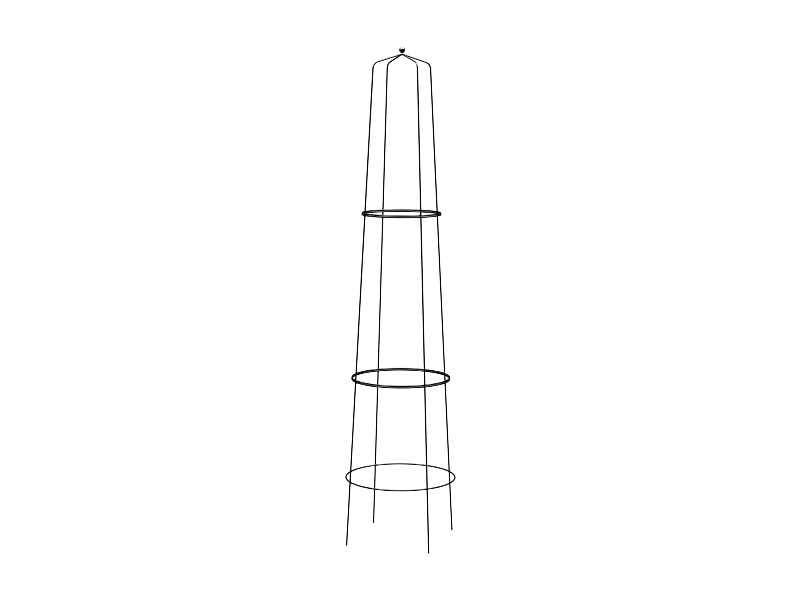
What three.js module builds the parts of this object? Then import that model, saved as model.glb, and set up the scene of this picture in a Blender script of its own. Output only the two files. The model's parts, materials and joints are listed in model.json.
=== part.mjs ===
// Garden obelisk: a round, tapering plant support of coated steel tube and rod. Three welded
// sections stack on hidden pins, and a ball finial screws into the crown.
// Millimetres, +Z up. The origin is on the axis, level with the cut ends of the feet.
import * as THREE from "three";

// ---- Driving dimensions ----
const TOTAL_HEIGHT = 1900;
const ROD_RADIUS = 2.75; // legs and rings, over the coating
const TUBE_BORE_RADIUS = 1.75; // inside the legs
const GAP = 0.3; // between pieces that touch, or that a weld joins

const FOOT_CIRCLE_RADIUS = 233; // leg centrelines, at the ground
const LEAN = 0.0608; // how far a leg leans in, per unit of height
const LOW_RING_HEIGHT = 245;
const FIRST_JOINT_HEIGHT = 637; // between the bottom and middle sections
const SECOND_JOINT_HEIGHT = 1273; // between the middle and top sections
const SHOULDER_HEIGHT = 1839; // where the lines of leg and roof would cross
const SHOULDER_RADIUS = 28; // of the bend, on the rod's centreline
const ROOF_ANGLE = THREE.MathUtils.degToRad(16.1);

const FOOT_PLUG_LENGTH = 12; // each foot's tube is closed over this length
const PIN_RADIUS = 1.55;
const PIN_SHANK_LENGTH = 18; // held in the leg below
const PIN_SPIGOT_LENGTH = 16; // standing up into the leg above
const PIN_TAPER = LEAN + 0.003; // more than the lean, so that a section lifts straight up

const HUB_RADIUS = 5.5;
const HUB_HALF_HEIGHT = 2.7;
const HUB_DROP = 1.9; // from where the roof's centrelines meet down to the hub's middle
const BALL_RADIUS = 11.2;
const BALL_BORE_DEPTH = 10;
const STUD_RADIUS = 2;
const STUD_CLEARANCE = 0.1; // in the hub and in the ball
const STUD_TAIL = 1; // below the hub
const CHAMFER = 0.5;

const ROD_SIDES = 12;
const RING_STEPS = 64;
const RING_SIDES = 8;
const BEND_STEPS = 9;
const TURNED_SIDES = 24;
const BALL_STEPS = 12;

// The legs stand on the diagonals.
const CORNERS = [
  ["back_right", 45],
  ["back_left", 135],
  ["front_left", 225],
  ["front_right", 315],
];

// ---- Materials ----
const coatedSteel = new THREE.MeshStandardMaterial({ color: 0x0b0b0b, roughness: 0.35, metalness: 0.1 });
const platedSteel = new THREE.MeshStandardMaterial({ color: 0xb4b6b8, roughness: 0.35, metalness: 1 });

// ---- Helpers ----
const legRadius = (z) => FOOT_CIRCLE_RADIUS - LEAN * z;

// A profile of [radius, height] pairs turned about +Z.
function turned(profile, sides) {
  const points = profile.map(([radius, height]) => new THREE.Vector2(radius, height));
  return new THREE.LatheGeometry(points, sides).rotateX(Math.PI / 2);
}

// Leans a piece that was made upright on the axis, and stands it in a leg's line in the XZ plane.
function leaned(geometry, z) {
  const shear = new THREE.Matrix4().set(1, 0, -LEAN, 0, 0, 1, 0, 0, 0, 0, 1, 0, 0, 0, 0, 1);
  return geometry.applyMatrix4(shear).translate(legRadius(z), 0, z);
}

function circle(radius, sides) {
  return Array.from({ length: sides }, (_, i) => {
    const angle = (2 * Math.PI * i) / sides;
    return new THREE.Vector2(radius * Math.cos(angle), radius * Math.sin(angle));
  });
}

function named(name, geometry, material) {
  const mesh = new THREE.Mesh(geometry, material);
  mesh.name = name;
  return mesh;
}

// Four copies of one piece, one in each corner.
function inCorners(name, geometry, material) {
  return CORNERS.map(([corner, degrees]) => {
    const mesh = named(`${name}_${corner}`, geometry, material);
    mesh.rotation.z = THREE.MathUtils.degToRad(degrees);
    return mesh;
  });
}

// ---- Straight legs ----
// A bottom leg is open at its top for the pin, and closed at its foot.
function bottomLeg() {
  const top = FIRST_JOINT_HEIGHT - GAP / 2;
  const profile = [
    [0, 0],
    [ROD_RADIUS, 0],
    [ROD_RADIUS, top],
    [TUBE_BORE_RADIUS, top],
    [TUBE_BORE_RADIUS, FOOT_PLUG_LENGTH],
    [0, FOOT_PLUG_LENGTH],
  ];
  return leaned(turned(profile, ROD_SIDES), 0);
}

// A middle leg is open at both ends.
function middleLeg() {
  const bottom = FIRST_JOINT_HEIGHT + GAP / 2;
  const length = SECOND_JOINT_HEIGHT - GAP / 2 - bottom;
  const profile = [
    [TUBE_BORE_RADIUS, 0],
    [ROD_RADIUS, 0],
    [ROD_RADIUS, length],
    [TUBE_BORE_RADIUS, length],
    [TUBE_BORE_RADIUS, 0],
  ];
  return leaned(turned(profile, ROD_SIDES), bottom);
}

// ---- Connector pins ----
// Parallel below the joint, tapered above it.
function connectorPin(jointHeight) {
  const tipRadius = PIN_RADIUS - PIN_TAPER * PIN_SPIGOT_LENGTH;
  const profile = [
    [0, -PIN_SHANK_LENGTH],
    [PIN_RADIUS, -PIN_SHANK_LENGTH],
    [PIN_RADIUS, 0],
    [tipRadius, PIN_SPIGOT_LENGTH],
    [0, PIN_SPIGOT_LENGTH],
  ];
  return leaned(turned(profile, ROD_SIDES), jointHeight);
}

// ---- Rings ----
// A ring of round rod lies inside the legs.
function ring(z) {
  const radius = legRadius(z) - 2 * ROD_RADIUS - GAP;
  return new THREE.TorusGeometry(radius, ROD_RADIUS, RING_SIDES, RING_STEPS).translate(0, 0, z);
}

// ---- Bent rods of the top section ----
// The centreline in the XZ plane: up the leg, round the shoulder, and up the roof to the hub. Its
// points are spaced by parameter instead of by length, so that they crowd in the bend.
class ShoulderCurve extends THREE.Curve {
  constructor() {
    super();
    const up = new THREE.Vector3(-LEAN, 0, 1).normalize();
    const roof = new THREE.Vector3(-Math.cos(ROOF_ANGLE), 0, Math.sin(ROOF_ANGLE));
    const corner = new THREE.Vector3(legRadius(SHOULDER_HEIGHT), 0, SHOULDER_HEIGHT);
    const turn = up.angleTo(roof);
    const setback = SHOULDER_RADIUS * Math.tan(turn / 2);

    // The end face is square to the rod, so its edges stand out from its middle at both ends.
    const bottom = SECOND_JOINT_HEIGHT + GAP / 2 + ROD_RADIUS * LEAN;
    const endRadius = HUB_RADIUS + GAP + ROD_RADIUS * Math.sin(ROOF_ANGLE);

    this.start = new THREE.Vector3(legRadius(bottom), 0, bottom);
    this.bendStart = corner.clone().addScaledVector(up, -setback);
    this.bendEnd = corner.clone().addScaledVector(roof, setback);
    this.end = corner.clone().addScaledVector(roof, (corner.x - endRadius) / Math.cos(ROOF_ANGLE));
    this.outward = new THREE.Vector3(1, 0, LEAN).normalize(); // from the bend's centre to its start
    this.along = up;
    this.turn = turn;
  }

  getUtoTmapping(u) {
    return u;
  }

  getPoint(t, target = new THREE.Vector3()) {
    const stretch = t * (BEND_STEPS + 2); // one step up the leg, the bend, one step up the roof
    if (stretch <= 1) return target.lerpVectors(this.start, this.bendStart, stretch);
    if (stretch >= BEND_STEPS + 1) {
      return target.lerpVectors(this.bendEnd, this.end, stretch - BEND_STEPS - 1);
    }
    const angle = (this.turn * (stretch - 1)) / BEND_STEPS;
    return target
      .copy(this.bendStart)
      .addScaledVector(this.outward, SHOULDER_RADIUS * (Math.cos(angle) - 1))
      .addScaledVector(this.along, SHOULDER_RADIUS * Math.sin(angle));
  }
}

function topRod() {
  const section = new THREE.Shape(circle(ROD_RADIUS, ROD_SIDES));
  section.holes.push(new THREE.Path(circle(TUBE_BORE_RADIUS, ROD_SIDES)));
  return new THREE.ExtrudeGeometry(section, {
    steps: BEND_STEPS + 2,
    extrudePath: new ShoulderCurve(),
  });
}

// ---- Crown and finial ----
const roofPeak = SHOULDER_HEIGHT + legRadius(SHOULDER_HEIGHT) * Math.tan(ROOF_ANGLE);
const hubMiddle = roofPeak - HUB_DROP;
const ballMiddle = TOTAL_HEIGHT - BALL_RADIUS;
const socketRadius = STUD_RADIUS + STUD_CLEARANCE;

// A small disc, drilled for the finial's stud. The roof rods are welded to its rim.
function crownHub() {
  const profile = [
    [socketRadius, -HUB_HALF_HEIGHT],
    [HUB_RADIUS - CHAMFER, -HUB_HALF_HEIGHT],
    [HUB_RADIUS, -HUB_HALF_HEIGHT + CHAMFER],
    [HUB_RADIUS, HUB_HALF_HEIGHT - CHAMFER],
    [HUB_RADIUS - CHAMFER, HUB_HALF_HEIGHT],
    [socketRadius, HUB_HALF_HEIGHT],
    [socketRadius, -HUB_HALF_HEIGHT],
  ];
  return turned(profile, TURNED_SIDES).translate(0, 0, hubMiddle);
}

// A ball with a blind bore in its underside.
function finialBall() {
  const mouthAngle = Math.asin(socketRadius / BALL_RADIUS);
  const mouth = -BALL_RADIUS * Math.cos(mouthAngle);
  const profile = [
    [0, mouth + BALL_BORE_DEPTH],
    [socketRadius, mouth + BALL_BORE_DEPTH],
  ];
  for (let step = 0; step < BALL_STEPS; step++) {
    const angle = mouthAngle + ((Math.PI - mouthAngle) * step) / BALL_STEPS;
    profile.push([BALL_RADIUS * Math.sin(angle), -BALL_RADIUS * Math.cos(angle)]);
  }
  profile.push([0, BALL_RADIUS]);
  return turned(profile, TURNED_SIDES).translate(0, 0, ballMiddle);
}

// The stud runs from inside the ball down through the hub.
function finialStud() {
  const top = ballMiddle - BALL_RADIUS + BALL_BORE_DEPTH - GAP;
  const bottom = hubMiddle - HUB_HALF_HEIGHT - STUD_TAIL;
  const profile = [
    [0, bottom],
    [STUD_RADIUS - CHAMFER, bottom],
    [STUD_RADIUS, bottom + CHAMFER],
    [STUD_RADIUS, top - CHAMFER],
    [STUD_RADIUS - CHAMFER, top],
    [0, top],
  ];
  return turned(profile, TURNED_SIDES);
}

// ---- Assembly ----
const ringOffset = ROD_RADIUS + GAP / 2; // from a joint to the rings that meet there

const bottomSection = new THREE.Group().add(
  ...inCorners("bottom_leg", bottomLeg(), coatedSteel),
  named("low_ring", ring(LOW_RING_HEIGHT), coatedSteel),
  named("bottom_section_top_ring", ring(FIRST_JOINT_HEIGHT - ringOffset), coatedSteel),
  ...inCorners("lower_pin", connectorPin(FIRST_JOINT_HEIGHT), platedSteel),
);

const middleSection = new THREE.Group().add(
  ...inCorners("middle_leg", middleLeg(), coatedSteel),
  named("middle_section_base_ring", ring(FIRST_JOINT_HEIGHT + ringOffset), coatedSteel),
  named("middle_section_top_ring", ring(SECOND_JOINT_HEIGHT - ringOffset), coatedSteel),
  ...inCorners("upper_pin", connectorPin(SECOND_JOINT_HEIGHT), platedSteel),
);

const topSection = new THREE.Group().add(
  ...inCorners("top_rod", topRod(), coatedSteel),
  named("top_section_base_ring", ring(SECOND_JOINT_HEIGHT + ringOffset), coatedSteel),
  named("crown_hub", crownHub(), coatedSteel),
);

const finial = new THREE.Group().add(
  named("finial_stud", finialStud(), platedSteel),
  named("finial_ball", finialBall(), coatedSteel),
);

const group = new THREE.Group().add(bottomSection, middleSection, topSection, finial);

export default group;
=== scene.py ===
"""Looks for the garden obelisk: coated tubes and rings, weld beads, turned pins, a threaded stud
and a gloss ball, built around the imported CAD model. Metres, +Z up, in the CAD's frame."""

import itertools
import json
import math
import random

import bpy
import numpy as np
from mathutils import Matrix, Vector


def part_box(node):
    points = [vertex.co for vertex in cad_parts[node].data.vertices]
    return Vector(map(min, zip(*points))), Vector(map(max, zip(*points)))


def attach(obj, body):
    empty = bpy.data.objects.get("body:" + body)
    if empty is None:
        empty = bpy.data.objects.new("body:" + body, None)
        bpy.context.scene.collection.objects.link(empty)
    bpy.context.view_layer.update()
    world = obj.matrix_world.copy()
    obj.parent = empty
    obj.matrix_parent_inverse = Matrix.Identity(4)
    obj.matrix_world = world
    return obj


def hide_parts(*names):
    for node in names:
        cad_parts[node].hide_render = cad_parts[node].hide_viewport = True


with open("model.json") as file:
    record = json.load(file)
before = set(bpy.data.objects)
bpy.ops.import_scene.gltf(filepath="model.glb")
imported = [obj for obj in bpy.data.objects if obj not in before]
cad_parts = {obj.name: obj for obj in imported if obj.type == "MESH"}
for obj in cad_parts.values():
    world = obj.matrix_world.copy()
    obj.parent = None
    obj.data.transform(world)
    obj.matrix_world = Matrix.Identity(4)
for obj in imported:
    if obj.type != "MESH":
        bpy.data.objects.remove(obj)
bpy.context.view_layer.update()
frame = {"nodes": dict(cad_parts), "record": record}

MM = 0.001

# ---- Sizes from the frame ----
CORNERS = {"back_right": 45, "back_left": 135, "front_left": 225, "front_right": 315}
GAP = 0.3 * MM  # what the CAD leaves between pieces that touch

low_ring_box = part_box("low_ring")
ROD_RADIUS = (low_ring_box[1].z - low_ring_box[0].z) / 2


def ring_radius(node):
    """The radius of a ring's centreline."""
    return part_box(node)[1].x - ROD_RADIUS


def middle_height(node):
    low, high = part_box(node)
    return (low.z + high.z) / 2


foot = next(m["pos_m"] for m in frame["record"]["mounts"] if m["name"] == "foot_back_right")
FOOT_CIRCLE_RADIUS = math.hypot(foot[0], foot[1])
RING_INSET = 2 * ROD_RADIUS + GAP  # of a ring's centreline from the legs'
UPPER_RING = "top_section_base_ring"
LEAN = (FOOT_CIRCLE_RADIUS - RING_INSET - ring_radius(UPPER_RING)) / middle_height(UPPER_RING)
FIRST_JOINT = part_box("bottom_leg_back_right")[1].z + GAP / 2
SECOND_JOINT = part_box("middle_leg_back_right")[1].z + GAP / 2

hub_low, hub_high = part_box("crown_hub")
HUB_RADIUS = hub_high.x
HUB_HALF_HEIGHT = (hub_high.z - hub_low.z) / 2
HUB_MIDDLE = middle_height("crown_hub")
stud_low, stud_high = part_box("finial_stud")
STUD_RADIUS = stud_high.x
BALL_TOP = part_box("finial_ball")[1].z

# ---- Sizes that the boxes don't hold, as the CAD has them ----
BORE_RADIUS = 1.75 * MM  # inside the tubes
FOOT_PLUG = 12 * MM  # each foot's tube is closed over this length
PIN_RADIUS = 1.55 * MM
PIN_SHANK = 18 * MM  # in the leg below the joint
PIN_SPIGOT = 16 * MM  # in the leg above it
PIN_TAPER = LEAN + 0.003  # more than the lean, so that a section lifts straight up
BALL_RADIUS = 11.2 * MM
BALL_BORE_DEPTH = 10 * MM
SOCKET_RADIUS = STUD_RADIUS + 0.1 * MM  # of the stud's holes in hub and ball
SHOULDER_RADIUS = 28 * MM  # of the bend, on the rod's centreline
ROOF_ANGLE = math.radians(16.1)
ROOF_PEAK = HUB_MIDDLE + 1.9 * MM  # where the roof rods' centrelines meet

# ---- Fineness ----
ROD_SIDES = 32
RING_SIDES = 24
RING_STEPS = 288
BEND_STEPS = 28
THREAD_SIDES = 28
THREAD_STEPS = 11  # in one pitch
BALL_SIDES = 64
BALL_ROWS = 48
LIP_STEPS = 5
WELD_GRID = 0.5 * MM
CROWN_GRID = 0.42 * MM

SEED = 41


def leg_radius(z):
    return FOOT_CIRCLE_RADIUS - LEAN * z


# ---- Meshes ----
def new_piece(name, points, faces, material, body, replaced=(), wear=None):
    """A smooth-shaded piece that rides on a body. wear is each point's share of worn coating."""
    mesh = bpy.data.meshes.new(name)
    mesh.from_pydata([tuple(p) for p in points], [], [tuple(f) for f in faces])
    mesh.polygons.foreach_set("use_smooth", [True] * len(mesh.polygons))
    layer = mesh.attributes.new("wear", "FLOAT", "POINT")
    layer.data.foreach_set("value", np.zeros(len(points)) if wear is None else wear)
    mesh.materials.append(material)
    mesh.update()
    piece = bpy.data.objects.new(name, mesh)
    bpy.context.scene.collection.objects.link(piece)
    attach(piece, body)
    if replaced:
        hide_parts(*replaced)
    return piece


def turned_about_z(points, degrees):
    c, s = math.cos(math.radians(degrees)), math.sin(math.radians(degrees))
    x, y, z = np.asarray(points, float).T
    return np.stack([x * c - y * s, x * s + y * c, z], axis=1)


def arc(centre, radius, start, end, steps=LIP_STEPS):
    """(radius, height) pairs along an arc of a profile, between two angles in degrees."""
    pairs = []
    for i in range(steps + 1):
        angle = math.radians(start + (end - start) * i / steps)
        pairs.append((centre[0] + radius * math.cos(angle), centre[1] + radius * math.sin(angle)))
    return pairs


def upright(height):
    """The vertical axis, as a spine: its point at a height, and two directions across it."""
    return np.array([0, 0, height]), np.array([1, 0, 0]), np.array([0, 1, 0])


def leg_line(height):
    """A straight leg's centreline, as a spine. Its ends and sections are level."""
    return np.array([leg_radius(height), 0, height]), np.array([1, 0, 0]), np.array([0, 1, 0])


ON_SPINE = 1e-9  # a smaller radius counts as a point on the spine


def lathe(profile, sides, spine=upright, closed=False):
    """Points and faces of a profile carried round a spine. The profile is (radius, distance along
    the spine) pairs that run up the outside of the solid. Pairs on the spine give one point.
    closed joins the last pair to the first."""
    points, rows = [], []
    for radius, distance in profile:
        centre, across, other = spine(distance)
        if radius < ON_SPINE:
            rows.append([len(points)] * sides)
            points.append(centre)
            continue
        rows.append(range(len(points), len(points) + sides))
        for i in range(sides):
            angle = 2 * math.pi * i / sides
            points.append(centre + radius * (math.cos(angle) * across + math.sin(angle) * other))
    pairs = list(itertools.pairwise(rows))
    if closed:
        pairs.append((rows[-1], rows[0]))
    faces = []
    for lower, upper in pairs:
        for i in range(sides):
            j = (i + 1) % sides
            corners = list(dict.fromkeys([lower[i], lower[j], upper[j], upper[i]]))
            if len(corners) > 2:
                faces.append(corners)
    return points, faces


# ---- Tubes ----
OUTER_LIP = 0.4 * MM  # rounding of a tube's end, outside and in its bore
INNER_LIP = 0.25 * MM
SUPPORT = (0.6 * MM, 3 * MM, 9 * MM)  # rows near a tube's end, which hold its shading and wear
WEAR_REACH = 2.4 * MM  # how far from a tube's end its coating is scuffed
BORE_END_CHAMFER = 0.5 * MM
BEND_FLATTENING = 0.035  # of a tube's section in the middle of a bend, in the bend's plane
BEND_MARGIN = 1.5 * MM  # rows this far before and after a bend hold its shading

# A closed foot's underside in mm above the ground: the plug's slightly hollow face by radius, and the
# seam round the plug by distance from the bore's edge.
PLUG_FACE = [(0, 0.12), (0.8, 0.1)]
PLUG_SEAM = [(-0.22, 0.06), (-0.11, 0.14), (0, 0.22), (0.11, 0.1), (0.22, 0)]


def tube_end_rows(end, inward):
    """The pairs of an open tube end, from the outside to the bore. inward is +1 or -1 along the
    spine, into the tube."""
    outer = (ROD_RADIUS - OUTER_LIP, end + inward * OUTER_LIP)
    inner = (BORE_RADIUS + INNER_LIP, end + inward * INNER_LIP)
    flat_side = -90 * inward
    outside = [(ROD_RADIUS, end + inward * s) for s in reversed(SUPPORT)]
    rounding = arc(outer, OUTER_LIP, 0, flat_side) + arc(inner, INNER_LIP, flat_side, 2 * flat_side)
    inside = [(BORE_RADIUS, end + inward * s) for s in SUPPORT]
    return outside + rounding + inside


def foot_rows():
    """The pairs of a closed foot, from the middle outwards: the plug's face, the seam round it
    and the tube's rounded edge."""
    plug = [(radius * MM, height * MM) for radius, height in PLUG_FACE]
    seam = [(BORE_RADIUS + offset * MM, height * MM) for offset, height in PLUG_SEAM]
    edge = arc((ROD_RADIUS - OUTER_LIP, OUTER_LIP), OUTER_LIP, -90, 0)
    outside = [(ROD_RADIUS, s) for s in SUPPORT]
    return plug + seam + edge + outside


def wear_near(profile, ends):
    """Each pair's wear: all of it at an end, and none further than WEAR_REACH from one."""
    shares = []
    for _, distance in profile:
        nearest = min(abs(distance - end) for end in ends)
        shares.append(max(0.0, 1 - nearest / WEAR_REACH) ** 2)
    return shares


def spread(profile, shares, sides):
    """The shares of a profile's pairs, for all the points that lathe makes of it."""
    spread_out = []
    for (radius, _), share in zip(profile, shares):
        spread_out += [share] * (1 if radius < ON_SPINE else sides)
    return spread_out


def in_corners(node, tail, profile, spine, wear, material, body, closed=False):
    """Four copies of a turned piece in the corners, each in the place of its CAD node."""
    points, faces = lathe(profile, ROD_SIDES, spine, closed)
    shares = spread(profile, wear, ROD_SIDES)
    for corner, degrees in CORNERS.items():
        name = f"{node}_{corner}"
        placed = turned_about_z(points, degrees)
        new_piece(f"{name}_{tail}", placed, faces, material, body, [name], shares)


def build_bottom_legs(material):
    top = FIRST_JOINT - GAP / 2
    chamfer = [(BORE_RADIUS, FOOT_PLUG + BORE_END_CHAMFER), (BORE_RADIUS - BORE_END_CHAMFER, FOOT_PLUG)]
    bore_end = chamfer + [(0, FOOT_PLUG)]
    profile = foot_rows() + tube_end_rows(top, -1) + bore_end
    wear = wear_near(profile, [0, top])
    in_corners("bottom_leg", "tube", profile, leg_line, wear, material, "bottom_section")


def build_middle_legs(material):
    bottom, top = FIRST_JOINT + GAP / 2, SECOND_JOINT - GAP / 2
    profile = list(reversed(tube_end_rows(bottom, 1))) + tube_end_rows(top, -1)
    wear = wear_near(profile, [bottom, top])
    in_corners("middle_leg", "tube", profile, leg_line, wear, material, "middle_section", closed=True)


class BentLine:
    """The centreline of a top rod, as a spine: up the leg, round the shoulder and up the roof."""

    def __init__(self):
        up = np.array([-LEAN, 0, 1]) / math.hypot(LEAN, 1)
        roof = np.array([-math.cos(ROOF_ANGLE), 0, math.sin(ROOF_ANGLE)])
        corner_height = self.corner_height()
        corner = np.array([leg_radius(corner_height), 0, corner_height])
        turn = math.acos(float(up @ roof))
        setback = SHOULDER_RADIUS * math.tan(turn / 2)
        bottom = SECOND_JOINT + GAP / 2 + ROD_RADIUS * LEAN
        end_radius = HUB_RADIUS + GAP + ROD_RADIUS * math.sin(ROOF_ANGLE)
        self.start = np.array([leg_radius(bottom), 0, bottom])
        self.up, self.roof, self.turn = up, roof, turn
        self.outward = np.array([up[2], 0, -up[0]])
        self.bend_start = corner - setback * up
        self.bend_end = corner + setback * roof
        self.straight = float(np.linalg.norm(self.bend_start - self.start))
        self.bend = SHOULDER_RADIUS * turn
        roof_length = (corner[0] - end_radius) / math.cos(ROOF_ANGLE) - setback
        self.length = self.straight + self.bend + roof_length

    @staticmethod
    def corner_height():
        """Where the lines of leg and roof cross."""
        rise = math.tan(ROOF_ANGLE)
        return (ROOF_PEAK - FOOT_CIRCLE_RADIUS * rise) / (1 - LEAN * rise)

    def __call__(self, distance):
        across = np.array([0, 1, 0])
        if distance <= self.straight:
            return self.start + distance * self.up, self.outward, across
        if distance >= self.straight + self.bend:
            past = distance - self.straight - self.bend
            return self.bend_end + past * self.roof, self.normal(self.roof), across
        angle = (distance - self.straight) / SHOULDER_RADIUS
        direction = self.up * math.cos(angle) - self.outward * math.sin(angle)
        normal = self.normal(direction)
        centre = self.bend_start - SHOULDER_RADIUS * self.outward + SHOULDER_RADIUS * normal
        share = math.sin(math.pi * angle / self.turn)
        return centre, normal * (1 - BEND_FLATTENING * share), across * (1 + BEND_FLATTENING * share)

    @staticmethod
    def normal(direction):
        """The direction outwards, square to a direction in the XZ plane."""
        return np.array([direction[2], 0, -direction[0]])


def build_top_rods(material):
    line = BentLine()
    bend = [line.straight + line.bend * i / BEND_STEPS for i in range(BEND_STEPS + 1)]
    stations = [bend[0] - BEND_MARGIN] + bend + [bend[-1] + BEND_MARGIN]
    outside = [(ROD_RADIUS, s) for s in stations]
    inside = [(BORE_RADIUS, s) for s in reversed(stations)]
    lower = list(reversed(tube_end_rows(0, 1)))
    profile = lower + outside + tube_end_rows(line.length, -1) + inside
    wear = wear_near(profile, [0])
    in_corners("top_rod", "tube", profile, line, wear, material, "top_section", closed=True)


# ---- Rings ----
SEAM_HEIGHT = 0.11 * MM  # the bead where a ring's two ends are welded
SEAM_REACH = 2.2 * MM  # to either side
SEAM_ROWS = 8  # rows of points in one reach
SEAM_FULLNESS = 0.7  # the power of the bead's outline, less being fuller
SEAM_RIPPLE = 0.25  # of its height, up and down, round the rod
SEAM_RIPPLES = 3


def build_ring(node, seam_degrees, material, body):
    """A ring of round rod, with a low weld bead where its ends meet."""
    radius, height = ring_radius(node), middle_height(node)
    seam = math.radians(seam_degrees)
    rows_out = SEAM_ROWS * 3 // 2
    near = [seam + SEAM_REACH / radius * x / SEAM_ROWS for x in range(-rows_out, rows_out + 1)]
    even = [2 * math.pi * i / RING_STEPS for i in range(RING_STEPS)]
    clear = 2 * SEAM_REACH / radius
    angles = sorted(near + [a for a in even if abs(a - seam) > clear])
    points = []
    for angle in angles:
        distance = abs(angle - seam) * radius / SEAM_REACH
        swell = SEAM_HEIGHT * max(0.0, 1 - distance**2) ** SEAM_FULLNESS
        for i in range(RING_SIDES):
            turn = 2 * math.pi * i / RING_SIDES
            ripple = 1 + SEAM_RIPPLE * math.sin(SEAM_RIPPLES * turn + seam_degrees)
            section = ROD_RADIUS + swell * ripple
            out = radius + section * math.cos(turn)
            z = height + section * math.sin(turn)
            points.append((out * math.cos(angle), out * math.sin(angle), z))
    faces = []
    for a in range(len(angles)):
        b = (a + 1) % len(angles)
        for i in range(RING_SIDES):
            j = (i + 1) % RING_SIDES
            faces.append(tuple(r * RING_SIDES + c for r, c in ((a, i), (b, i), (b, j), (a, j))))
    new_piece(f"{node}_rod", points, faces, material, body, [node])


# ---- Blended solids: welds and crown ----
def smooth_min(a, b, reach):
    """The lower of two fields, rounded where they are closer than reach."""
    share = np.clip(0.5 + 0.5 * (b - a) / reach, 0, 1)
    return b * (1 - share) + a * share - reach * share * (1 - share)


def smooth_max(a, b, reach):
    return -smooth_min(-a, -b, reach)


CUBE = list(itertools.product((0, 1), repeat=3))
DRAWS = 3  # how often a point is drawn onto the surface
SLOPE_REACH = 0.02 * MM  # how far to either side of a point a field's slope is measured
LEAST_STEEPNESS = 0.05  # so that a point moves little where a field is nearly flat


def isosurface(field, low, high, step):
    """Points and faces of the closed surface where field is 0, with its inside below 0. Each cell of
    a grid that the surface crosses gets one point, which is then drawn onto the surface."""
    low, high = np.asarray(low, float), np.asarray(high, float)
    counts = np.ceil((high - low) / step).astype(int) + 1
    axes = [low[k] + step * np.arange(counts[k]) for k in range(3)]
    grid = np.stack(np.meshgrid(*axes, indexing="ij"), axis=-1)
    values = field(grid.reshape(-1, 3)).reshape(counts)
    nx, ny, nz = counts - 1
    corners = np.stack([values[i : i + nx, j : j + ny, k : k + nz] for i, j, k in CUBE], axis=-1)
    filled = (corners < 0).sum(axis=-1)
    mixed = (filled > 0) & (filled < 8)
    cells = np.argwhere(mixed)
    index = np.full(mixed.shape, -1)
    index[mixed] = np.arange(len(cells))

    at_cell = corners[mixed]
    total, crossings = np.zeros((len(cells), 3)), np.zeros(len(cells))
    for a, b in itertools.combinations(range(8), 2):
        if sum(abs(p - q) for p, q in zip(CUBE[a], CUBE[b])) != 1:
            continue
        crossed = (at_cell[:, a] < 0) != (at_cell[:, b] < 0)
        va, vb = at_cell[crossed, a], at_cell[crossed, b]
        along = (va / (va - vb))[:, None]
        total[crossed] += np.array(CUBE[a]) * (1 - along) + np.array(CUBE[b]) * along
        crossings[crossed] += 1
    points = low + step * (cells + total / crossings[:, None])
    for _ in range(DRAWS):
        points = points + drawn_onto(field, points, step / 2)

    faces = []
    inside = values < 0
    for axis in range(3):
        second, third = (axis + 1) % 3, (axis + 2) % 3
        here = np.moveaxis(inside, axis, 0)
        edges = np.argwhere(np.moveaxis(here[:-1] != here[1:], 0, axis))
        edges = edges[(edges[:, second] > 0) & (edges[:, third] > 0)]
        around = []
        for back_second, back_third in ((1, 1), (0, 1), (0, 0), (1, 0)):
            cell = edges.copy()
            cell[:, second] -= back_second
            cell[:, third] -= back_third
            around.append(index[tuple(cell.T)])
        quads = np.stack(around, axis=1)
        leaving = inside[tuple(edges.T)]
        quads[~leaving] = quads[~leaving][:, ::-1]
        faces.extend(quads.tolist())
    return points, faces


def drawn_onto(field, points, limit):
    """The moves, each at most limit, that bring points onto the surface where field is 0."""
    value = field(points)
    slope = np.zeros_like(points)
    for k in range(3):
        nudge = np.zeros(3)
        nudge[k] = SLOPE_REACH
        slope[:, k] = (field(points + nudge) - field(points - nudge)) / (2 * SLOPE_REACH)
    steepness = np.maximum((slope**2).sum(axis=1), LEAST_STEEPNESS)
    moves = -(value / steepness)[:, None] * slope
    length = np.linalg.norm(moves, axis=1)[:, None]
    return moves * (limit / np.maximum(length, limit))


EDGE_ROUNDING = 0.3 * MM  # where a weld or the crown is cut off
WELD_BLEND = 2.6 * MM  # how far a fillet draws ring and leg together
WELD_END = 6.4 * MM  # from the contact, where a weld ends inside the rods
WELD_INSET = 0.02 * MM  # how deep it lies in them before it sinks
WELD_SINK = 0.14 * MM  # how much deeper it lies at its end
WELD_SINK_START = 0.62  # of the distance to its end
WELD_FAR_SIDE = 0.6 * MM  # past the leg's centreline it ends too
BORE_CLEARANCE = 0.1 * MM
CUT_CLEARANCE = 0.05 * MM  # between a weld and the level of the leg's end
LEG_CUT = 0.3 * MM  # a weld's fillet takes the leg to end this far before that level

# Each weld has four beads. In mm: a bead's centre from the contact, outwards, along the ring and up
# or down the leg, and its radius.
BEAD_OUT = (-0.3, 0.3)
BEAD_ALONG = (1.7, 2.3)
BEAD_UP = (1.8, 2.4)
BEAD_RADIUS = (1.0, 1.5)
BEAD_BLEND = 1.6 * MM


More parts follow.
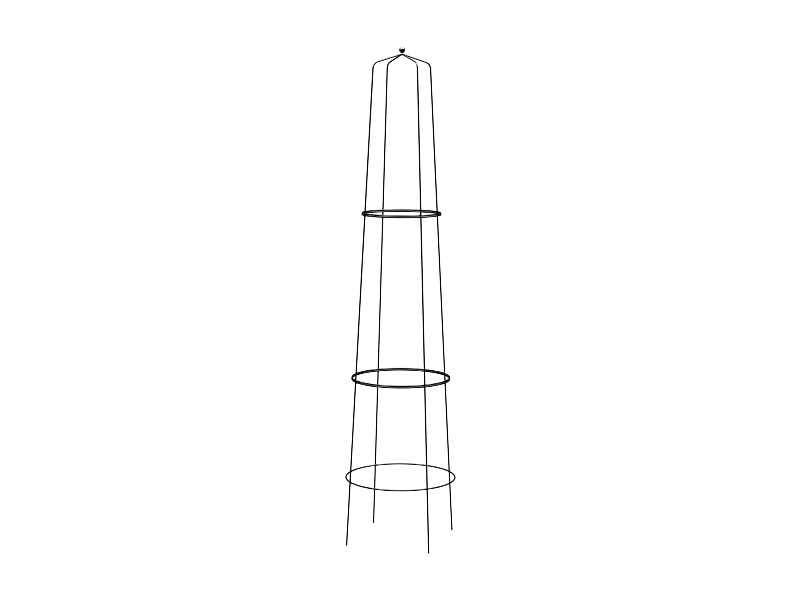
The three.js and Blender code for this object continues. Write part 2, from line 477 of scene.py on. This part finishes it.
def weld_field(ring_r, ring_z, cut, rng):
    """The field of the weld between a ring and the leg in the XZ plane, and the contact's place. cut
    is None or (height, sign): the weld stays below the height at sign 1, and above it at -1."""
    contact = np.array([leg_radius(ring_z) - ROD_RADIUS - GAP / 2, 0, ring_z])
    beads = []
    for side, level in itertools.product((-1, 1), repeat=2):
        out = rng.uniform(*BEAD_OUT)
        along = side * rng.uniform(*BEAD_ALONG)
        up = level * rng.uniform(*BEAD_UP)
        beads.append((contact + np.array([out, along, up]) * MM, rng.uniform(*BEAD_RADIUS) * MM))

    def field(p):
        x, y, z = p.T
        from_leg = np.hypot(x - leg_radius(z), y)
        leg = from_leg - ROD_RADIUS
        rod = np.hypot(np.hypot(x, y) - ring_r, z - ring_z) - ROD_RADIUS
        if cut:
            past_cut = cut[1] * (z - cut[0])
            leg = smooth_max(leg, past_cut + LEG_CUT, OUTER_LIP)
        shape = smooth_min(leg, rod, WELD_BLEND)
        for centre, radius in beads:
            shape = smooth_min(shape, np.linalg.norm(p - centre, axis=1) - radius, BEAD_BLEND)
        away = np.linalg.norm(p - contact, axis=1)
        sunk = np.clip((away / WELD_END - WELD_SINK_START) / (1 - WELD_SINK_START), 0, 1)
        shape = shape + WELD_INSET + WELD_SINK * sunk
        shape = smooth_max(shape, away - WELD_END, EDGE_ROUNDING)
        shape = smooth_max(shape, x - leg_radius(z) - WELD_FAR_SIDE, EDGE_ROUNDING)
        shape = smooth_max(shape, BORE_RADIUS + BORE_CLEARANCE - from_leg, EDGE_ROUNDING)
        if cut:
            shape = smooth_max(shape, past_cut + CUT_CLEARANCE, EDGE_ROUNDING)
        return shape

    return field, contact


def build_welds(node, cut, material, body, rng):
    """The four welds that hold a ring to the legs, as one piece."""
    points, faces = [], []
    for degrees in CORNERS.values():
        field, contact = weld_field(ring_radius(node), middle_height(node), cut, rng)
        reach = WELD_END + WELD_GRID
        part, part_faces = isosurface(field, contact - reach, contact + reach, WELD_GRID)
        start = len(points)
        points.extend(turned_about_z(part, degrees))
        faces.extend([i + start for i in face] for face in part_faces)
    new_piece(f"{node}_welds", points, faces, material, body)


HUB_ROUNDING = 0.5 * MM
CROWN_BLEND = 2.4 * MM  # how far a fillet draws hub and rods together
CROWN_END = 12.4 * MM  # from the axis, where the crown ends inside the rods
CROWN_PROUD = 0.05 * MM  # how far it stands out of them before it sinks
CROWN_SINK = 0.35 * MM  # how much it sinks
CROWN_SINK_START = 8.8 * MM  # from the axis
CROWN_SINK_LENGTH = 1.4 * MM
CROWN_TOP = HUB_MIDDLE + HUB_HALF_HEIGHT + 0.15 * MM
CROWN_TOP_ROUNDING = 0.5 * MM
CROWN_ROD_START = 3 * MM  # from the axis, where the rods inside it start
CROWN_ROD_START_SLOPE = 0.6  # of the field there, less than 1 to soften the blend
CROWN_GRID_REACH = np.array([13, 13, 8]) * MM
CROWN_GRID_MIDDLE = np.array([0, 0, HUB_MIDDLE - 1 * MM])


def crown_field(p):
    """The field of the hub, blended with the ends of the four roof rods that are welded to it."""
    x, y, z = p.T
    out = np.hypot(x, y)
    wide = out - (HUB_RADIUS - HUB_ROUNDING)
    tall = np.abs(z - HUB_MIDDLE) - (HUB_HALF_HEIGHT - HUB_ROUNDING)
    shape = np.hypot(np.maximum(wide, 0), np.maximum(tall, 0)) + np.minimum(np.maximum(wide, tall), 0)
    shape = shape - HUB_ROUNDING
    for degrees in CORNERS.values():
        c, s = math.cos(math.radians(degrees)), math.sin(math.radians(degrees))
        along, across = x * c + y * s, y * c - x * s
        above = (z - ROOF_PEAK + along * math.tan(ROOF_ANGLE)) * math.cos(ROOF_ANGLE)
        start = CROWN_ROD_START_SLOPE * (CROWN_ROD_START - along)
        rod = np.maximum(np.hypot(across, above) - ROD_RADIUS, start)
        shape = smooth_min(shape, rod, CROWN_BLEND)
    sunk = np.clip((out - CROWN_SINK_START) / CROWN_SINK_LENGTH, 0, 1)
    shape = shape - CROWN_PROUD + CROWN_SINK * sunk
    shape = smooth_max(shape, out - CROWN_END, EDGE_ROUNDING)
    shape = smooth_max(shape, z - CROWN_TOP, CROWN_TOP_ROUNDING)
    return smooth_max(shape, SOCKET_RADIUS - out, EDGE_ROUNDING)


def build_crown(material):
    low, high = CROWN_GRID_MIDDLE - CROWN_GRID_REACH, CROWN_GRID_MIDDLE + CROWN_GRID_REACH
    points, faces = isosurface(crown_field, low, high, CROWN_GRID)
    new_piece("crown_hub_welded", points, faces, material, "top_section", ["crown_hub"])


# ---- Pins, stud and ball ----
EDGE_ROW = 1 * MM  # a row of points this far from an edge holds its shading
PIN_ROUNDING = 0.35 * MM
PIN_GROOVES = (1.4 * MM, 2.6 * MM)  # above the joint
GROOVE = [(-0.3, 0), (-0.22, 0.02), (0, 0.14), (0.22, 0.02), (0.3, 0)]  # in mm: (height, depth)
THREAD_PITCH = 0.7 * MM
THREAD_DEPTH = 0.42 * MM
THREAD_CREST = 0.15  # half the crest's width, in pitches
THREAD_ROOT = 0.4  # where the root begins, in pitches from the crest's middle
STUD_CHAMFER = 0.5 * MM
BALL_BORE_CHAMFER = 0.2 * MM
BALL_MOUTH_WIDTH = 0.3 * MM  # of the rounding between bore and ball
BALL_MOUTH = [(0, 0.35), (0.08, 0.12)]  # in mm: its pairs, from where bore and ball would meet


def build_pins(node, joint, material, body):
    """Plated pins: a parallel shank, two fine grooves by the joint, and a tapered, rounded tip."""
    foot_end, tip = joint - PIN_SHANK, joint + PIN_SPIGOT
    tip_radius = PIN_RADIUS - PIN_TAPER * PIN_SPIGOT
    profile = [(0, foot_end)]
    profile += arc((PIN_RADIUS - PIN_ROUNDING, foot_end + PIN_ROUNDING), PIN_ROUNDING, -90, 0)
    profile += [(PIN_RADIUS, foot_end + EDGE_ROW), (PIN_RADIUS, joint - EDGE_ROW)]
    for middle in PIN_GROOVES:
        radius = PIN_RADIUS - PIN_TAPER * middle
        profile += [(radius - depth * MM, joint + middle + height * MM) for height, depth in GROOVE]
    profile += [(tip_radius + PIN_TAPER * EDGE_ROW, tip - EDGE_ROW)]
    profile += arc((tip_radius - PIN_ROUNDING, tip - PIN_ROUNDING), PIN_ROUNDING, 0, 90)
    profile += [(0, tip)]
    wear = [0.0] * len(profile)
    in_corners(node, "turned", profile, leg_line, wear, material, body)


def build_stud(material):
    """A stud with a helical thread, chamfered at both ends."""
    bottom, top = stud_low.z, stud_high.z
    steps = round((top - bottom) / THREAD_PITCH * THREAD_STEPS)
    points = [(0, 0, bottom)]
    for row in range(steps + 1):
        z = bottom + (top - bottom) * row / steps
        limit = STUD_RADIUS - STUD_CHAMFER + min(z - bottom, top - z)
        for i in range(THREAD_SIDES):
            angle = 2 * math.pi * i / THREAD_SIDES
            turn = ((z - bottom) / THREAD_PITCH - i / THREAD_SIDES) % 1
            rise = (THREAD_ROOT - abs(turn - 0.5)) / (THREAD_ROOT - THREAD_CREST)
            rise = min(1.0, max(0.0, rise))  # 1 on the crest, 0 in the root
            radius = min(STUD_RADIUS - THREAD_DEPTH * (1 - rise), limit)
            points.append((radius * math.cos(angle), radius * math.sin(angle), z))
    points.append((0, 0, top))
    last = len(points) - 1
    faces = []
    for i in range(THREAD_SIDES):
        j = (i + 1) % THREAD_SIDES
        faces.append((0, 1 + j, 1 + i))
        for row in range(steps):
            a, b = 1 + row * THREAD_SIDES, 1 + (row + 1) * THREAD_SIDES
            faces.append((a + i, a + j, b + j, b + i))
        a = 1 + steps * THREAD_SIDES
        faces.append((a + i, a + j, last))
    new_piece("finial_stud_threaded", points, faces, material, "stud", ["finial_stud"])


def build_ball(material):
    """A ball with a blind bore in its underside, and a rounded mouth to the bore."""
    centre = BALL_TOP - BALL_RADIUS
    mouth_angle = math.degrees(math.asin((SOCKET_RADIUS + BALL_MOUTH_WIDTH) / BALL_RADIUS))
    mouth = centre - math.sqrt(BALL_RADIUS**2 - SOCKET_RADIUS**2)
    bore_top = mouth + BALL_BORE_DEPTH
    profile = [(0, bore_top), (SOCKET_RADIUS - BALL_BORE_CHAMFER, bore_top)]
    profile += [(SOCKET_RADIUS, bore_top - BALL_BORE_CHAMFER), (SOCKET_RADIUS, bore_top - EDGE_ROW)]
    profile += [(SOCKET_RADIUS, mouth + EDGE_ROW)]
    profile += [(SOCKET_RADIUS + offset * MM, mouth + height * MM) for offset, height in BALL_MOUTH]
    profile += arc((0, centre), BALL_RADIUS, mouth_angle - 90, 90, BALL_ROWS)[:-1]
    profile += [(0, BALL_TOP)]
    points, faces = lathe(profile, BALL_SIDES)
    new_piece("finial_ball_gloss", points, faces, material, "ball", ["finial_ball"])


# ---- Materials ----
class Graph:
    """A material's node tree, with short ways to add nodes."""

    def __init__(self, name):
        self.material = bpy.data.materials.new(name)
        self.material.use_nodes = True
        self.tree = self.material.node_tree
        self.shader = self.tree.nodes["Principled BSDF"]
        self.place = self.node("ShaderNodeTexCoord").outputs["Object"]

    def node(self, kind, **settings):
        node = self.tree.nodes.new(kind)
        for name, value in settings.items():
            setattr(node, name, value)
        return node

    def link(self, source, target):
        self.tree.links.new(source, target)

    def stretched(self, scale):
        """The object's own coordinates, scaled by three numbers."""
        mapping = self.node("ShaderNodeMapping")
        mapping.inputs["Scale"].default_value = scale
        self.link(self.place, mapping.inputs["Vector"])
        return mapping.outputs["Vector"]

    def noise(self, size, detail=2, place=None):
        """Noise with features of about that size."""
        noise = self.node("ShaderNodeTexNoise")
        noise.inputs["Scale"].default_value = 1 / size
        noise.inputs["Detail"].default_value = detail
        self.link(place or self.place, noise.inputs["Vector"])
        return noise.outputs["Fac"]

    def ranged(self, source, span, to=(0, 1)):
        """A value moved from one (low, high) range to another, and kept inside it."""
        node = self.node("ShaderNodeMapRange")
        names = ("From Min", "From Max", "To Min", "To Max")
        for name, value in zip(names, (*span, *to)):
            node.inputs[name].default_value = value
        self.link(source, node.inputs["Value"])
        return node.outputs["Result"]

    def math(self, operation, a, b):
        node = self.node("ShaderNodeMath", operation=operation)
        for socket, value in zip(node.inputs, (a, b)):
            if isinstance(value, (int, float)):
                socket.default_value = value
            else:
                self.link(value, socket)
        return node.outputs["Value"]

    def average(self, a, b, share):
        """The average of two values, in which b has that share."""
        return self.math("ADD", self.math("MULTIPLY", a, 1 - share), self.math("MULTIPLY", b, share))

    def mixed(self, factor, first, second):
        """A colour between two, each a colour or a socket."""
        node = self.node("ShaderNodeMix", data_type="RGBA")
        self.link(factor, node.inputs["Factor"])
        for socket, value in ((node.inputs[6], first), (node.inputs[7], second)):
            if isinstance(value, tuple):
                socket.default_value = (*value, 1.0)
            else:
                self.link(value, socket)
        return node.outputs[2]

    def bump(self, height, distance):
        node = self.node("ShaderNodeBump")
        node.inputs["Distance"].default_value = distance
        self.link(height, node.inputs["Height"])
        self.link(node.outputs["Normal"], self.shader.inputs["Normal"])

    def set(self, **values):
        for name, value in values.items():
            self.shader.inputs[name.replace("_", " ")].default_value = value


# The coatings' features. A size is that of a noise, and a span is the range of a value that takes a
# feature from none to full.
BLACK_TINT = (1, 0.99, 1.02)
DRIFT_SIZE = 70 * MM
DRIFT_SPAN = (0.35, 0.65)
PEEL_SIZE = 1.3 * MM
FINE_PEEL_SIZE = 0.35 * MM
FINE_PEEL_SHARE = 0.2  # of the orange peel's height
SHEEN_SPAN = (0.2, 0.8)  # from least to most roughness
DUST_SIZE = 0.5 * MM
DUST_SPAN = (0.72, 0.8)
DUST_COLOUR = (0.008, 0.008, 0.008)
RUBBED_SIZE = 0.45 * MM
RUBBED_PATCH_SPAN = (0.35, 0.7)
RUBBED_SPAN = (0.3, 0.75)  # of wear times patches
RUBBED_COLOUR = (0.09, 0.087, 0.083)
RUBBED_ROUGHNESS = 0.18  # more than the coating's


def coating(name, tone, roughness, peel, worn=True):
    """Black paint or powder coating, with specks of dust under it. tone and roughness are (least,
    most), peel is the height of its orange peel, and worn scuffs it by the wear attribute."""
    graph = Graph(name)
    drift = graph.ranged(graph.noise(DRIFT_SIZE, 3), DRIFT_SPAN)
    coarse = graph.noise(PEEL_SIZE)
    fine = graph.noise(FINE_PEEL_SIZE)
    dark, light = (tuple(t * share for share in BLACK_TINT) for t in tone)
    colour = graph.mixed(drift, dark, light)
    dust = graph.ranged(graph.noise(DUST_SIZE, 0), DUST_SPAN)
    colour = graph.mixed(dust, colour, DUST_COLOUR)
    rough = graph.ranged(graph.average(drift, fine, 0.5), SHEEN_SPAN, roughness)
    if worn:
        wear = graph.node("ShaderNodeAttribute", attribute_name="wear").outputs["Fac"]
        patches = graph.ranged(graph.noise(RUBBED_SIZE, 5), RUBBED_PATCH_SPAN)
        rubbed = graph.ranged(graph.math("MULTIPLY", wear, patches), RUBBED_SPAN)
        colour = graph.mixed(rubbed, colour, RUBBED_COLOUR)
        rough = graph.math("ADD", rough, graph.math("MULTIPLY", rubbed, RUBBED_ROUGHNESS))
    graph.link(colour, graph.shader.inputs["Base Color"])
    graph.link(rough, graph.shader.inputs["Roughness"])
    graph.bump(graph.average(coarse, fine, FINE_PEEL_SHARE), peel)
    return graph


ZINC_BLUE = (0.58, 0.60, 0.64)
ZINC_YELLOW = (0.68, 0.66, 0.60)
ZINC_DRIFT_SIZE = 6 * MM
ZINC_SPAN = (0.3, 0.7)  # of the drift's noise and of the turning marks'
ZINC_ROUGHNESS = (0.3, 0.44)
DULL_COLOUR = (0.45, 0.45, 0.46)
DULL_SIZE = 0.8 * MM
DULL_SPAN = (0.55, 0.75)
DULL_ROUGHNESS = 0.15  # more than the bright plating's
TURNING_SIZE = 0.9 * MM
TURNING_STRETCH = (0.5, 0.5, 9)  # of the coordinates, which makes marks round the vertical
TURNING_HEIGHT = 0.012 * MM


def plated_steel():
    """Zinc plating with turning marks, a slight drift between blue and yellow, and dull spots."""
    graph = Graph("plated_steel_turned")
    drift = graph.ranged(graph.noise(ZINC_DRIFT_SIZE), ZINC_SPAN)
    colour = graph.mixed(drift, ZINC_BLUE, ZINC_YELLOW)
    dull = graph.ranged(graph.noise(DULL_SIZE, 3), DULL_SPAN)
    colour = graph.mixed(dull, colour, DULL_COLOUR)
    marks = graph.noise(TURNING_SIZE, 3, graph.stretched(TURNING_STRETCH))
    bright_rough = graph.ranged(marks, ZINC_SPAN, ZINC_ROUGHNESS)
    rough = graph.math("ADD", bright_rough, graph.math("MULTIPLY", dull, DULL_ROUGHNESS))
    graph.link(colour, graph.shader.inputs["Base Color"])
    graph.link(rough, graph.shader.inputs["Roughness"])
    graph.bump(marks, TURNING_HEIGHT)
    graph.set(Metallic=0.7)
    return graph


FLOOR_DARK = (0.03, 0.03, 0.03)
FLOOR_LIGHT = (0.04, 0.04, 0.04)
FLOOR_DRIFT_SIZE = 300 * MM
FLOOR_DRIFT_SPAN = (0.3, 0.7)
FLOOR_ROUGHNESS = (0.75, 0.85)
FLOOR_GRAIN_SIZE = 2 * MM
FLOOR_GRAIN_HEIGHT = 0.05 * MM
FLOOR_GLOW = 0.95  # radiance


def floor_paint():
    """Matt paint that glows nearly as white as the backdrop, as a studio's lit sweep does."""
    graph = Graph("floor_paint")
    tone = graph.ranged(graph.noise(FLOOR_DRIFT_SIZE, 3), FLOOR_DRIFT_SPAN)
    graph.link(graph.mixed(tone, FLOOR_DARK, FLOOR_LIGHT), graph.shader.inputs["Base Color"])
    graph.link(graph.ranged(tone, (0, 1), FLOOR_ROUGHNESS), graph.shader.inputs["Roughness"])
    graph.bump(graph.noise(FLOOR_GRAIN_SIZE), FLOOR_GRAIN_HEIGHT)
    graph.set(Specular_IOR_Level=0.0, Emission_Color=(1, 1, 1, 1), Emission_Strength=FLOOR_GLOW)
    return graph


rod_coat = coating("rod_powder_coat", tone=(0.0015, 0.003), roughness=(0.16, 0.26), peel=0.03 * MM)
weld_coat = coating(
    "weld_powder_coat", tone=(0.0025, 0.005), roughness=(0.2, 0.34), peel=0.06 * MM, worn=False
)
ball_coat = coating(
    "ball_gloss_paint", tone=(0.003, 0.005), roughness=(0.1, 0.17), peel=0.008 * MM, worn=False
)
ball_coat.set(Coat_Weight=1.0, Coat_Roughness=0.06, IOR=1.6)
steel = plated_steel()

# ---- The object ----
rng = random.Random(SEED)
build_bottom_legs(rod_coat.material)
build_middle_legs(rod_coat.material)
build_top_rods(rod_coat.material)

# Each ring: its node, its body, where its ends are welded, in degrees, and its welds' cut.
RINGS = [
    ("low_ring", "bottom_section", 18, None),
    ("bottom_section_top_ring", "bottom_section", 196, (FIRST_JOINT - GAP / 2, 1)),
    ("middle_section_base_ring", "middle_section", 73, (FIRST_JOINT + GAP / 2, -1)),
    ("middle_section_top_ring", "middle_section", 251, (SECOND_JOINT - GAP / 2, 1)),
    ("top_section_base_ring", "top_section", 107, (SECOND_JOINT + GAP / 2, -1)),
]
for ring_node, ring_body, seam_degrees, weld_cut in RINGS:
    build_ring(ring_node, seam_degrees, rod_coat.material, ring_body)
    build_welds(ring_node, weld_cut, weld_coat.material, ring_body, rng)

build_pins("lower_pin", FIRST_JOINT, steel.material, "bottom_section")
build_pins("upper_pin", SECOND_JOINT, steel.material, "middle_section")
build_crown(weld_coat.material)
build_stud(steel.material)
build_ball(ball_coat.material)

# The CAD nodes behind these pieces are hidden, and carry the same finishes.
FINISH = {"lower_pin": steel, "upper_pin": steel, "finial_stud": steel, "finial_ball": ball_coat}
for node_name, node in frame["nodes"].items():
    finish = next((f for start, f in FINISH.items() if node_name.startswith(start)), rod_coat)
    node.data.materials.clear()
    node.data.materials.append(finish.material)

# ---- Floor, light and camera ----
FLOOR_RADIUS = 0.55
FLOOR_SIDES = 96
FLOOR_HEIGHT = -0.1 * MM


def build_floor():
    points = []
    for i in range(FLOOR_SIDES):
        angle = 2 * math.pi * i / FLOOR_SIDES
        points.append((FLOOR_RADIUS * math.cos(angle), FLOOR_RADIUS * math.sin(angle), FLOOR_HEIGHT))
    mesh = bpy.data.meshes.new("floor")
    mesh.from_pydata(points, [], [tuple(range(FLOOR_SIDES))])
    mesh.materials.append(floor_paint().material)
    floor = bpy.data.objects.new("floor", mesh)
    bpy.context.scene.collection.objects.link(floor)
    floor.visible_glossy = False  # so that its glow doesn't light the object
    floor.visible_diffuse = False


# Each soft light: its name, its middle, the point that it faces, its two sides, and its radiance. The
# softboxes put the highlights on the ball and shoulders, and the strips a faint edge on the legs.
LIGHTS = [
    ("ceiling", (0, 0, 3.6), (0, 0, 0), (3.4, 3.4), 6),
    ("right_softbox", (1.41, 0.44, 3.72), (0, 0, 1.83), (2.0, 2.0), 14),
    ("left_softbox", (-1.21, -1.31, 3.43), (0, 0, 1.83), (1.4, 1.4), 14),
    ("right_strip", (2.14, 1.09, 0.7), (0, 0, 0.7), (0.25, 3.2), 2),
    ("left_strip", (-2.38, -0.3, 0.7), (0, 0, 0.7), (0.25, 3.2), 2),
]


def area_light(name, position, target, size, radiance):
    light = bpy.data.lights.new(name, "AREA")
    light.shape = "RECTANGLE"
    light.size, light.size_y = size
    light.energy = radiance * math.pi * size[0] * size[1]
    lamp = bpy.data.objects.new(name, light)
    lamp.location = position
    lamp.rotation_euler = (Vector(target) - Vector(position)).to_track_quat("-Z", "Y").to_euler()
    lamp.visible_camera = False
    bpy.context.scene.collection.objects.link(lamp)


BACKDROP = 1.0  # radiance that the camera sees
SURROUND = 0.02  # radiance that lights the object


def build_world():
    """A white backdrop to the camera, and a dim surround to everything else."""
    world = bpy.data.worlds.new("studio")
    bpy.context.scene.world = world
    world.use_nodes = True
    tree = world.node_tree
    output = tree.nodes["World Output"]
    dim = tree.nodes["Background"]
    dim.inputs["Color"].default_value = (SURROUND, SURROUND, SURROUND, 1)
    white = tree.nodes.new("ShaderNodeBackground")
    white.inputs["Color"].default_value = (BACKDROP, BACKDROP, BACKDROP, 1)
    mix = tree.nodes.new("ShaderNodeMixShader")
    path = tree.nodes.new("ShaderNodeLightPath")
    tree.links.new(path.outputs["Is Camera Ray"], mix.inputs["Fac"])
    tree.links.new(dim.outputs["Background"], mix.inputs[1])
    tree.links.new(white.outputs["Background"], mix.inputs[2])
    tree.links.new(mix.outputs["Shader"], output.inputs["Surface"])


CAMERA_AZIMUTH = math.radians(17.34)  # round the object from its front
CAMERA_DISTANCE = 5.914  # from the axis, level
CAMERA_HEIGHT = 1.7409
CAMERA_PITCH = 0.13448  # radians, down
CAMERA_PAN = -0.00073  # radians, as the roll is
CAMERA_ROLL = 0.00396
CAMERA_LENS = 69.93  # mm, as the sensor's width is
CAMERA_SENSOR = 36
CAMERA_CLIP_END = 100


def build_camera():
    data = bpy.data.cameras.new("camera")
    data.lens = CAMERA_LENS
    data.sensor_width = CAMERA_SENSOR
    data.clip_end = CAMERA_CLIP_END
    camera = bpy.data.objects.new("camera", data)
    place = Vector((0, -CAMERA_DISTANCE, CAMERA_HEIGHT))
    turn = Matrix.Rotation(math.pi / 2 - CAMERA_PITCH, 4, "X")
    pan = Matrix.Rotation(-CAMERA_PAN, 4, "Y")
    roll = Matrix.Rotation(CAMERA_ROLL, 4, "Z")
    round_object = Matrix.Rotation(CAMERA_AZIMUTH, 4, "Z")
    camera.matrix_world = round_object @ Matrix.Translation(place) @ turn @ pan @ roll
    bpy.context.scene.collection.objects.link(camera)
    bpy.context.scene.camera = camera


# A narrow pixel filter and a low display gamma keep thin rods sharp and black.
FILTER_WIDTH = 0.7
DISPLAY_GAMMA = 0.85

build_floor()
build_world()
for light in LIGHTS:
    area_light(*light)
build_camera()

scene = bpy.context.scene
scene.view_settings.view_transform = "Standard"
scene.view_settings.gamma = DISPLAY_GAMMA
scene.cycles.pixel_filter_type = "BLACKMAN_HARRIS"
scene.cycles.filter_width = FILTER_WIDTH
scene.cycles.use_denoising = False
